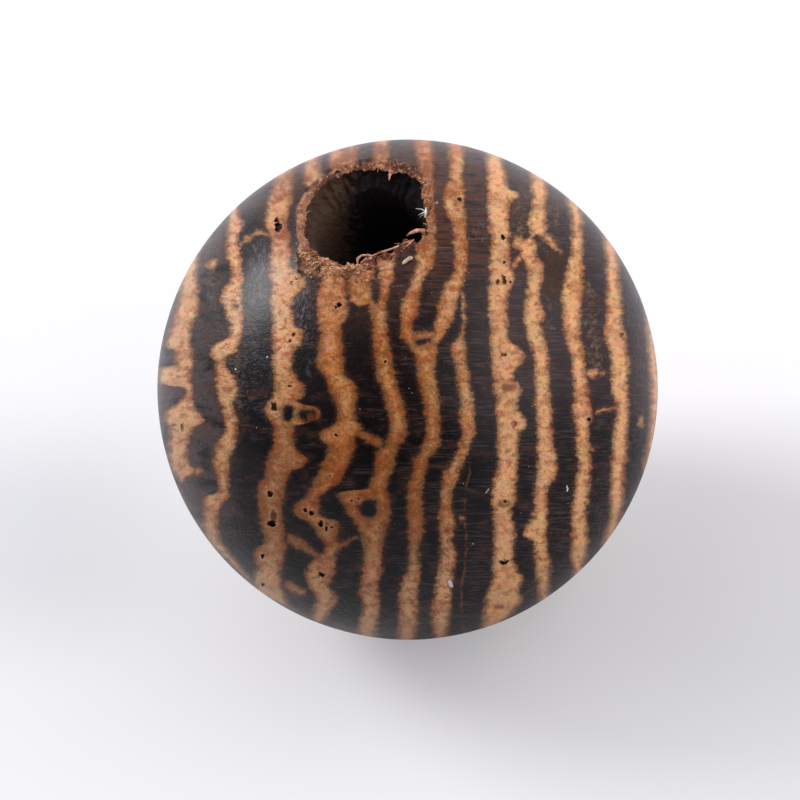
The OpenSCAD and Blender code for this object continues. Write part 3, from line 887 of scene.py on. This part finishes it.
class Mouth:
    """The torn upper mouth in mm: where its lip, its scuffed limit and its surface lie."""

    def __init__(self, form):
        self.ball = form.ball_radius / MM
        self.bore = form.bore_radius / MM
        self.scuff = form.scuff_depth / MM
        self.tear = form.tear_depth / MM
        self.axes = grain_axes(form)

    def grain_noise(self, point, cross, along, seed=0.0):
        """Noise drawn out along the grain, from -1 to 1."""
        a, u, g = (point.dot(axis) for axis in self.axes)
        return noise.noise(Vector((a * cross + seed, u * cross, g * along)))

    def at(self, direction, radius, lower=0.0):
        """The point on the ball over a radius from the bore's axis, and how far to lower it."""
        p = turned(direction, radius, math.sqrt(self.ball**2 - radius**2))
        return p * swell(p) - Vector((0.0, 0.0, lower))

    def lip(self, direction):
        r = around(LIP, direction)
        p = self.at(direction, r)
        ragged = 0.030 * self.grain_noise(p, 6.0, 2.0) + 0.03 * self.grain_noise(p, 17.0, 5.0, 7.0)
        return r + 0.025 + ragged

    def limit(self, direction):
        r = around(SCUFF, direction)
        p = self.at(direction, r)
        ragged = 0.05 * self.grain_noise(p, 5.0, 1.5, 3.0) + 0.02 * self.grain_noise(p, 14.0, 4.0, 9.0)
        return r + ragged

    def face(self, direction, s):
        """A point on the scuffed wood, from its limit (0) to the lip (1)."""
        lip, limit = self.lip(direction), self.limit(direction)
        radius = limit + (lip - limit) * s
        p = self.at(direction, radius)
        rough = 0.060 * self.grain_noise(p, 5.0, 1.8, 11.0) + 0.070 * self.grain_noise(p, 10.0, 4.0, 5.0)
        lower = self.scuff * ramp(s, 0.0, 1.0) + rough * ramp(s, 0.02, 0.40) + 0.02 * ramp(s, 0.8, 1.0)
        return self.at(direction, radius, lower)

    def wall(self, direction, s):
        """A point on the torn wall, from the lip (0) to the bore (1)."""
        top = self.face(direction, 1.0)
        lip = math.hypot(top.x, top.y)
        tear = self.tear * (0.75 + 0.6 * noise.noise(Vector((direction * 0.02, 4.0, 0.0))))
        radius = lip + (self.bore - lip) * (s**1.6)
        height = top.z - tear * (s**0.8)
        p = turned(direction, radius, height)
        rough = 0.035 * self.grain_noise(p, 7.0, 1.2, 2.0) + 0.02 * self.grain_noise(p, 18.0, 3.0, 6.0)
        radius += rough * (0.25 + math.sin(math.pi * min(s, 1.0)))
        return turned(direction, radius, height)


class Profile:
    """The rings of the ball and its bore, from the foot round to the bore.

    Each ring holds (point, how torn, how far in the bore), and each strip between two rings holds
    their places on the map.
    """

    def __init__(self, form):
        self.columns = form.columns
        self.turns = [360.0 * i / form.columns for i in range(form.columns)]
        self.rings = []
        self.strips = []
        self.last = None

    def add(self, ring, now):
        if self.rings:
            self.strips.append((self.last, now))
        self.rings.append(ring)
        self.last = now

    def level_ring(self, radius, height):
        return [(turned(d, radius, height), 0.0, 0.3) for d in self.turns]


def build_ball(form):
    mouth = Mouth(form)
    ball, bore = mouth.ball, mouth.bore
    foot, ease = form.foot / MM, form.mouth_ease / MM
    profile = Profile(form)
    turns = profile.turns

    def ball_ring(angles):
        ring = []
        for d, a in zip(turns, angles):
            p = turned(d, math.sin(a), math.cos(a))
            ring.append((p * ball * swell(p), 0.0, 0.0))
        return ring

    # the eased lower mouth and the foot
    foot_radius = math.sqrt(ball**2 - foot**2)
    low_angle = math.pi - math.asin(foot_radius / ball)
    foot_share = 2 - math.sqrt(1 + math.cos(low_angle))
    for i in range(3):
        t = i / 3
        profile.add(
            profile.level_ring(bore + (foot_radius - bore) * t, foot + ease * (1 - t) ** 1.3),
            foot_share + 0.06 - 0.02 * i,
        )
    for i in range(LOWER_ROWS + 1):
        a = low_angle + (math.pi / 2 - low_angle) * i / LOWER_ROWS
        ring = ball_ring([a] * profile.columns) if i else profile.level_ring(foot_radius, foot)
        profile.add(ring, 2 - math.sqrt(1 + math.cos(a)))

    # the upper half, up to the limit of the scuffed wood
    tops = [math.asin(min(mouth.limit(d) / ball, 1.0)) for d in turns]
    for i in range(1, UPPER_ROWS + 1):
        t = i / UPPER_ROWS
        ring = ball_ring([math.pi / 2 + (top - math.pi / 2) * t for top in tops])
        high = math.cos(math.pi / 2 * (1 - t) + TOP_ANGLE * t) / math.cos(TOP_ANGLE)
        profile.add(ring, math.sqrt(1 - (1 - MOUTH_SHARE**2) * min(high, 1.0)))

    # the scuffed wood, the torn wall and the bore
    for i in range(1, SCUFF_ROWS + 1):
        t = i / SCUFF_ROWS
        ring = [(mouth.face(d, t), ramp(t, 0.0, 0.65), 0.0) for d in turns]
        profile.add(ring, MOUTH_SHARE + (LIP_SHARE - MOUTH_SHARE) * t)
    for i in range(1, WALL_ROWS + 1):
        t = i / WALL_ROWS
        ring = []
        for d in turns:
            back = max(0.0, math.sin(math.radians(d)))  # painted shade: the far side is dark up to the lip
            ring.append((mouth.wall(d, t), 1.0, ramp(t, 0.02 - 0.25 * back, 0.45 - 0.35 * back)))
        profile.add(ring, LIP_SHARE + (WALL_SHARE - LIP_SHARE) * t)
    ends = [p.z for p, torn, inner in ring]
    for i in range(1, BORE_ROWS):
        t = i / BORE_ROWS
        ring = []
        for d, top in zip(turns, ends):
            height = top + (foot + ease - top) * t
            mark = 0.010 * noise.noise(turned(d, 2.2, height * 0.9))
            mark += 0.006 * noise.noise(turned(d, 9.0, height * 1.5))
            radius = bore + mark * min(1.0, 6 * (1 - t)) - 0.002
            ring.append((turned(d, radius, height), 0.9, 1.0))
        profile.add(ring, WALL_SHARE + (BORE_SHARE - WALL_SHARE) * t)
    profile.strips.append((profile.last, BORE_SHARE))
    return profile


def map_place(share_out, column, quarter, columns):
    """Place on the unfolded ball: the upper half fills a diamond and the lower half the corners."""
    side = columns // 4
    t = (column - quarter * side) / side
    ends = ((1, 0), (0, 1), (-1, 0), (0, -1))
    a, b = Vector(ends[quarter]), Vector(ends[(quarter + 1) % 4])
    if share_out <= 1.0:
        p = (a * (1 - t) + b * t) * share_out
    else:
        p = a + b - (a * t + b * (1 - t)) * (2 - share_out)
    return p.x * 0.496 + 0.5, p.y * 0.496 + 0.5


def near_vessels(point, axes, margin):
    """Distance to the edge of the nearest vessel in mm, negative inside it, and how far it is open."""
    a, u = point.dot(axes[0]), point.dot(axes[1])
    best, open_share = 9.0, 0.0
    for va, vu, vr, tall, opened in VESSELS:
        if abs(a - va) < vr + margin and abs(u - vu) < vr * max(tall, 1.0) + margin:
            gap = (math.hypot((a - va), (u - vu) / tall) - vr) * min(tall, 1.0)
            if gap < best:
                best, open_share = gap, opened
    if best < margin:
        best += 0.024 * noise.noise(Vector((a * 22.0, u * 22.0, 0.0)))
        best += 0.010 * noise.noise(Vector((a * 60.0, u * 60.0, 0.0)))
    return best, open_share


def grid_mesh(bm, profile):
    """The rings as a grid of faces, with what the finish needs on each point."""
    torn_layer = bm.verts.layers.float.new("torn")
    bore_layer = bm.verts.layers.float.new("bore")
    uv_layer = bm.loops.layers.uv.new("OFBake")
    columns = profile.columns
    grid = []
    for ring in profile.rings:
        row = []
        for point, torn, inner in ring:
            vert = bm.verts.new(point)
            vert[torn_layer] = torn
            vert[bore_layer] = inner
            row.append(vert)
        grid.append(row)
    for k, (first, second) in enumerate(profile.strips):
        row, above = grid[k], grid[(k + 1) % len(grid)]
        for i in range(columns):
            j = (i + 1) % columns
            quarter = i * 4 // columns
            face = bm.faces.new((row[i], row[j], above[j], above[i]))
            face.smooth = True
            places = ((first, i), (first, i + 1), (second, i + 1), (second, i))
            for loop, (out, column) in zip(face.loops, places):
                loop[uv_layer].uv = map_place(out, column, quarter, columns)


def open_vessels(bm, form):
    """Finer faces round each vessel, and its surface sunk along the grain."""
    vessel_layer = bm.verts.layers.float.new("vessel")
    rim_layer = bm.verts.layers.float.new("rim")
    across, up, grain = grain_axes(form)
    surface = form.ball_radius / MM - SURFACE_DEPTH
    for cuts, margin in VESSEL_CUTS:
        front_only = margin == VESSEL_CUTS[-1][1]
        edges = set()
        for face in bm.faces:
            centre = face.calc_center_median()
            if centre.length <= surface or (front_only and centre.dot(grain) < 0):
                continue
            if near_vessels(centre, (across, up), margin + 0.05)[0] < margin:
                edges.update(face.edges)
        bmesh.ops.subdivide_edges(bm, edges=list(edges), cuts=cuts, use_grid_fill=True)
    depth = form.vessel_depth / MM
    for vert in bm.verts:
        if vert.co.length <= surface:
            continue
        gap, opened = near_vessels(vert.co, (across, up), 0.05)
        if gap < 0.03:
            sink = (1.0 - ramp(gap, -0.020, 0.006)) * opened
            vert[vessel_layer] = sink
            vert[rim_layer] = max(0.0, 1.0 - abs(gap - 0.014) / 0.014)
            if sink > 0:
                side = 1.0 if vert.co.dot(grain) > 0 else -1.0
                vert.co -= grain * side * depth * sink


def mesh_of(name, bm):
    """The finished mesh in metres of a shape in mm."""
    for face in bm.faces:
        face.smooth = True
    bmesh.ops.recalc_face_normals(bm, faces=bm.faces)
    bmesh.ops.scale(bm, vec=(MM, MM, MM), verts=bm.verts)
    mesh = bpy.data.meshes.new(name)
    bm.to_mesh(mesh)
    bm.free()
    return mesh


def piece(name, bm, material, replaces=False):
    """Adds a finished piece, riding on the bead."""
    mesh = mesh_of(name, bm)
    mesh.materials.append(material)
    ob = bpy.data.objects.new(name, mesh)
    bpy.context.scene.collection.objects.link(ob)
    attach(ob, BODY)
    if replaces:
        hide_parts(NODE)


def strand(bm, path, widths, sides=4, flat=1.0):
    """A tapering strand along a path, with its width at each point."""
    rings = []
    for i, p in enumerate(path):
        ahead = path[min(i + 1, len(path) - 1)] - path[max(i - 1, 0)]
        ahead.normalize()
        side = ahead.cross(Vector((0.31, 0.22, 0.92))).normalized()
        other = ahead.cross(side).normalized()
        ring = []
        for k in range(sides):
            a = math.tau * k / sides
            offset = side * math.cos(a) * widths[i] + other * math.sin(a) * widths[i] * flat
            ring.append(bm.verts.new(p + offset))
        rings.append(ring)
    for low, high in zip(rings, rings[1:]):
        for k in range(sides):
            bm.faces.new((low[k], low[(k + 1) % sides], high[(k + 1) % sides], high[k]))
    bm.faces.new(rings[0][::-1])
    bm.faces.new(rings[-1])


# Strands on the ball, each as its places (across, up, height over the ball), the widths there, its
# sides and how flat it is, all in mm.
TONGUE = (
    (((0.27, 2.53, -0.03), (0.15, 2.51, 0.0), (0.05, 2.47, 0.005), (-0.02, 2.43, -0.01)),
     (0.046, 0.044, 0.032, 0.010), 7, 0.6),
)
SPLINTERS = (
    # the long splinter along the lip, and a short one beside it
    (((-0.62, 2.09, -0.03), (-0.45, 2.16, -0.01), (-0.25, 2.22, 0.0), (-0.08, 2.29, 0.0),
      (0.06, 2.37, -0.02)),
     (0.016, 0.022, 0.015, 0.020, 0.008), 6, 0.8),
    (((-0.10, 2.20, -0.02), (0.02, 2.29, 0.01), (0.10, 2.37, 0.0)), (0.010, 0.014, 0.006), 5, 0.7),
    # the curled splinter at the notch, with its root
    (((-0.80, 2.00, -0.04), (-0.79, 2.06, 0.01), (-0.72, 2.10, 0.03), (-0.63, 2.11, 0.02),
      (-0.56, 2.12, -0.01)),
     (0.014, 0.026, 0.020, 0.024, 0.010), 7, 0.7),
    (((-0.74, 2.00, -0.03), (-0.66, 2.05, -0.01), (-0.57, 2.09, -0.02)), (0.030, 0.040, 0.020), 6, 0.7),
    # the rough knob on the far side
    (((-0.26, 3.50, -0.05), (-0.29, 3.43, -0.04), (-0.30, 3.38, -0.08)), (0.038, 0.024, 0.008), 7, 0.8),
)
CHIP = (
    (((-0.09, 1.985, -0.02), (-0.055, 2.00, 0.01), (-0.005, 2.035, 0.025), (0.045, 2.065, 0.02),
      (0.075, 2.09, -0.01)), (0.018, 0.040, 0.036, 0.044, 0.012), 8, 0.6),
)
LINT = (
    (((0.30, 2.82, 0.0), (0.23, 2.77, 0.03), (0.17, 2.73, 0.03)), (0.012, 0.010, 0.003), 4, 1.0),
    (((0.30, 2.80, 0.0), (0.22, 2.82, 0.04), (0.12, 2.83, 0.04)), (0.012, 0.009, 0.003), 4, 1.0),
    (((0.27, 2.72, -0.01), (0.28, 2.79, 0.03), (0.29, 2.88, 0.0)), (0.010, 0.018, 0.006), 4, 1.0),
)


def strands(form, rows):
    """Strands that lie on the end grain of the ball."""
    across, up, grain = grain_axes(form)
    ball = form.ball_radius / MM
    bm = bmesh.new()
    for places, widths, sides, flat in rows:
        path = []
        for a, u, lift in places:
            p = across * a + up * u + grain * math.sqrt(ball**2 - a**2 - u**2)
            path.append(p * ((ball + lift) / ball))
        strand(bm, path, widths, sides, flat)
    return bm


class BEAD_OT_ball(bpy.types.Operator):
    """Builds the turned ball with its bore, open vessels and torn mouth"""

    bl_idname = "bead.ball"
    bl_label = "Turned ball"

    def execute(self, context):
        form, finish = context.scene.bead_form, context.scene.bead_finish
        bm = bmesh.new()
        grid_mesh(bm, build_ball(form))
        open_vessels(bm, form)
        bmesh.ops.triangulate(bm, faces=bm.faces)
        piece("bead_ball", bm, wood_material(form, finish), True)
        return {"FINISHED"}


class BEAD_OT_fibres(bpy.types.Operator):
    """Adds the fibres that stand up round the torn mouth, and its crumbs"""

    bl_idname = "bead.fibres"
    bl_label = "Mouth fibres and crumbs"

    def execute(self, context):
        form, finish = context.scene.bead_form, context.scene.bead_finish
        mouth = Mouth(form)
        rng = random.Random(11)
        fibres, crumbs = bmesh.new(), bmesh.new()
        for _ in range(120):
            self.fibre(fibres, mouth, rng)
        for _ in range(330):
            self.crumb(crumbs, mouth, rng)
        torn = fibre_material("Torn fibres", finish.warm_wood, finish.torn_wood)
        piece("mouth_fibres", fibres, torn)
        piece("mouth_crumbs", crumbs, fibre_material("Crumbs", finish.torn_orange, finish.crumb))
        return {"FINISHED"}

    def fibre(self, bm, mouth, rng):
        """A fine fibre, most often near the lip."""
        rising = Vector((0.0, 0.0, 1.0))
        direction = rng.uniform(0, 360)
        s = 1.0 - abs(rng.gauss(0.0, 0.25))
        start = mouth.face(direction, max(s, 0.1)) - rising * 0.012
        inward, tangent = -turned(direction, 1.0), turned(direction + 90, 1.0)
        heading = inward * rng.uniform(-0.2, 0.7) + tangent * rng.gauss(0, 0.9)
        heading += rising * rng.uniform(-0.1, 0.3) + mouth.axes[2] * rng.gauss(0, 0.3)
        heading.normalize()
        curl = (tangent * rng.gauss(0, 0.8) + rising * rng.gauss(-0.4, 0.4)) * 0.6
        reach = rng.uniform(0.04, 0.13)
        width = rng.uniform(0.004, 0.011)
        steps = (0, 0.25, 0.5, 0.75, 1)
        path = [start + heading * (reach * t) + curl * (reach * t * t) for t in steps]
        strand(bm, path, [width * part for part in (1.0, 1.0, 0.8, 0.6, 0.25)], 4)

    def crumb(self, bm, mouth, rng):
        """A crumb of torn tissue, larger in the pile at the near left of the mouth."""
        spans = ((0, 360), (198, 250), (198, 262), (300, 400))
        direction = rng.choice([rng.uniform(*span) for span in spans])
        s = 1.0 - abs(rng.gauss(0.0, 0.42))
        start = mouth.face(direction, min(max(s, 0.0), 1.0))
        heading = Vector((rng.gauss(0, 1), rng.gauss(0, 1), rng.gauss(0, 0.5))).normalized()
        reach = rng.uniform(0.02, 0.05)
        width = rng.uniform(0.006, 0.014)
        if 195 < direction < 262:
            width, reach = width * rng.uniform(1.0, 2.4), reach * 1.6
        path = [start + heading * (reach * t) for t in (-0.5, -0.2, 0.2, 0.5)]
        path[1] += Vector((rng.gauss(0, 0.006), rng.gauss(0, 0.006), 0.006))
        widths = [width * rng.uniform(0.5, 1.3) for _ in path]
        strand(bm, path, widths, rng.choice((4, 5, 6)), rng.uniform(0.5, 0.9))


class BEAD_OT_splinters(bpy.types.Operator):
    """Adds the tongue, the long and the curled splinter and the knob at the lip of the mouth"""

    bl_idname = "bead.splinters"
    bl_label = "Lip splinters"

    def execute(self, context):
        form, finish = context.scene.bead_form, context.scene.bead_finish
        tongue = fibre_material("Tongue", finish.torn_orange, finish.torn_wood, 0.7)
        piece("lip_tongue", strands(form, TONGUE), tongue)
        splinters = fibre_material("Splinters", finish.warm_wood, finish.torn_wood, 0.7)
        piece("lip_splinters", strands(form, SPLINTERS), splinters)
        return {"FINISHED"}


class BEAD_OT_lint(bpy.types.Operator):
    """Adds the pale chip and the white lint caught on the mouth"""

    bl_idname = "bead.lint"
    bl_label = "Chip and lint"

    def execute(self, context):
        form, finish = context.scene.bead_form, context.scene.bead_finish
        chip = fibre_material("Raw chip", finish.chip, finish.chip_shade)
        piece("pale_chip", strands(form, CHIP), chip)
        lint = fibre_material("White lint", finish.lint, finish.lint, 0.9)
        piece("lint", strands(form, LINT), lint)
        return {"FINISHED"}


class BEAD_OT_stage(bpy.types.Operator):
    """Sets up the white table, the soft lamps and the camera"""

    bl_idname = "bead.stage"
    bl_label = "Table, lamps and camera"

    def execute(self, context):
        scene = context.scene
        form, stage = scene.bead_form, scene.bead_stage
        self.table(scene, form, stage)
        self.room(scene, stage)
        self.lamp("Window", WINDOW_SIDE, WINDOW_SIZE, stage.window_light)
        self.lamp("Side", RIGHT_SIDE, SIDE_SIZE, stage.side_light)
        self.camera(scene, form, stage)
        scene.view_settings.view_transform = "Standard"
        return {"FINISHED"}

    def table(self, scene, form, stage):
        """A white table, with painted shade towards the viewer and on the left of the bead, and a
        painted shadow on its right.
        """
        mesh = bpy.data.meshes.new("table")
        corners = ((-1, -1), (1, -1), (1, 1), (-1, 1))
        places = [(x * TABLE_REACH, y * TABLE_REACH, form.foot) for x, y in corners]
        mesh.from_pydata(places, [], [(0, 1, 2, 3)])
        table = bpy.data.objects.new("table", mesh)
        scene.collection.objects.link(table)
        material = bpy.data.materials.new("White table")
        s = Shader(material)
        across, up, grain = wood_places(s, form)
        # painted shade on the left of the bead and painted shadow on its right
        left = (-abs(up + 2.4)).rise(-2.6, -0.4) * (-across).rise(2.5, 6.0)
        right = (-abs(up + 3.0)).rise(-3.2, -1.0) * across.rise(2.0, 5.0)
        shade = s.glaze(
            stage.table_colour,
            # painted shade towards the viewer
            ((-up).rise(-1.0, 6.0) * 0.25, stage.table_front_shade),
            (left * 0.9, stage.table_left_shade),
            (right * 0.8, stage.table_right_shadow),
        )
        camera_ray = s.node("ShaderNodeLightPath", None, None, "Is Camera Ray")
        s.surface({
            "Base Color": shade,
            "Roughness": 0.7,
            "Emission Color": s.mix(camera_ray, BLACK, stage.table_glow),
            "Emission Strength": 0.33,
        })
        mesh.materials.append(material)

    def room(self, scene, stage):
        """Even light, brighter from above and darker from the viewer's side."""
        world = bpy.data.worlds.new("Room")
        scene.world = world
        s = Shader(world)
        place = s.node("ShaderNodeTexCoord", None, None, "Generated")
        towards = Vector((0.0, -math.cos(stage.view_height), math.sin(stage.view_height)))
        facing = s.along(place, towards).rise(0.60, 0.97)
        bright = s.along(place, BRIGHT_SIDE).rise(-0.35, 0.75)
        level = stage.room_light * (0.22 + bright * 0.78) * (1 - facing * 0.8)
        seen = s.node("ShaderNodeLightPath", None, None, "Is Camera Ray")
        strength = s.node("ShaderNodeMix", {"data_type": "FLOAT"}, {0: seen, 2: level, 3: 1.0})
        room = s.node("ShaderNodeBackground", None, {"Color": WHITE, "Strength": strength})
        s.node("ShaderNodeOutputWorld", None, {"Surface": room})

    def lamp(self, name, towards, size, level):
        """A square soft lamp that faces the bead, at a brightness of level."""
        data = bpy.data.lights.new(name, "AREA")
        data.size = size
        data.energy = level * math.pi * size * size
        lamp = bpy.data.objects.new(name, data)
        direction = Vector(towards).normalized()
        lamp.location = direction * LAMP_DISTANCE
        lamp.rotation_euler = direction.to_track_quat("Z", "Y").to_euler()
        bpy.context.scene.collection.objects.link(lamp)

    def camera(self, scene, form, stage):
        """A camera that looks down the grain."""
        data = bpy.data.cameras.new("Camera")
        data.sensor_width = SENSOR
        data.lens = SENSOR * stage.view_distance / stage.view_width
        data.clip_start = 0.01
        data.clip_end = 10.0
        across, up, grain = grain_axes(form)
        camera = bpy.data.objects.new("Camera", data)
        aim = (across * AIM[0] + up * AIM[1]) * stage.view_width
        camera.location = aim + grain * stage.view_distance
        turn = grain.to_track_quat("Z", "Y").to_matrix()
        turn.col[0], turn.col[1], turn.col[2] = across, up, grain
        camera.rotation_euler = turn.to_euler()
        scene.collection.objects.link(camera)
        scene.camera = camera


STEPS = (BEAD_OT_ball, BEAD_OT_fibres, BEAD_OT_splinters, BEAD_OT_lint, BEAD_OT_stage)


class BEAD_PT_panel(bpy.types.Panel):
    """Lists the steps that build the bead"""

    bl_idname = "BEAD_PT_panel"
    bl_label = "Wooden bead"
    bl_space_type = "VIEW_3D"
    bl_region_type = "UI"
    bl_category = "Bead"

    def draw(self, context):
        for step in STEPS:
            self.layout.operator(step.bl_idname)


CLASSES = (BeadForm, BeadFinish, TableStage, *STEPS, BEAD_PT_panel)


def register():
    for cls in CLASSES:
        bpy.utils.register_class(cls)
    bpy.types.Scene.bead_form = PointerProperty(type=BeadForm)
    bpy.types.Scene.bead_finish = PointerProperty(type=BeadFinish)
    bpy.types.Scene.bead_stage = PointerProperty(type=TableStage)


def unregister():
    del bpy.types.Scene.bead_form, bpy.types.Scene.bead_finish, bpy.types.Scene.bead_stage
    for cls in reversed(CLASSES):
        bpy.utils.unregister_class(cls)


def main():
    register()
    for step in STEPS:
        group, name = step.bl_idname.split(".")
        getattr(getattr(bpy.ops, group), name)()


if __name__ == "__main__":
    main()
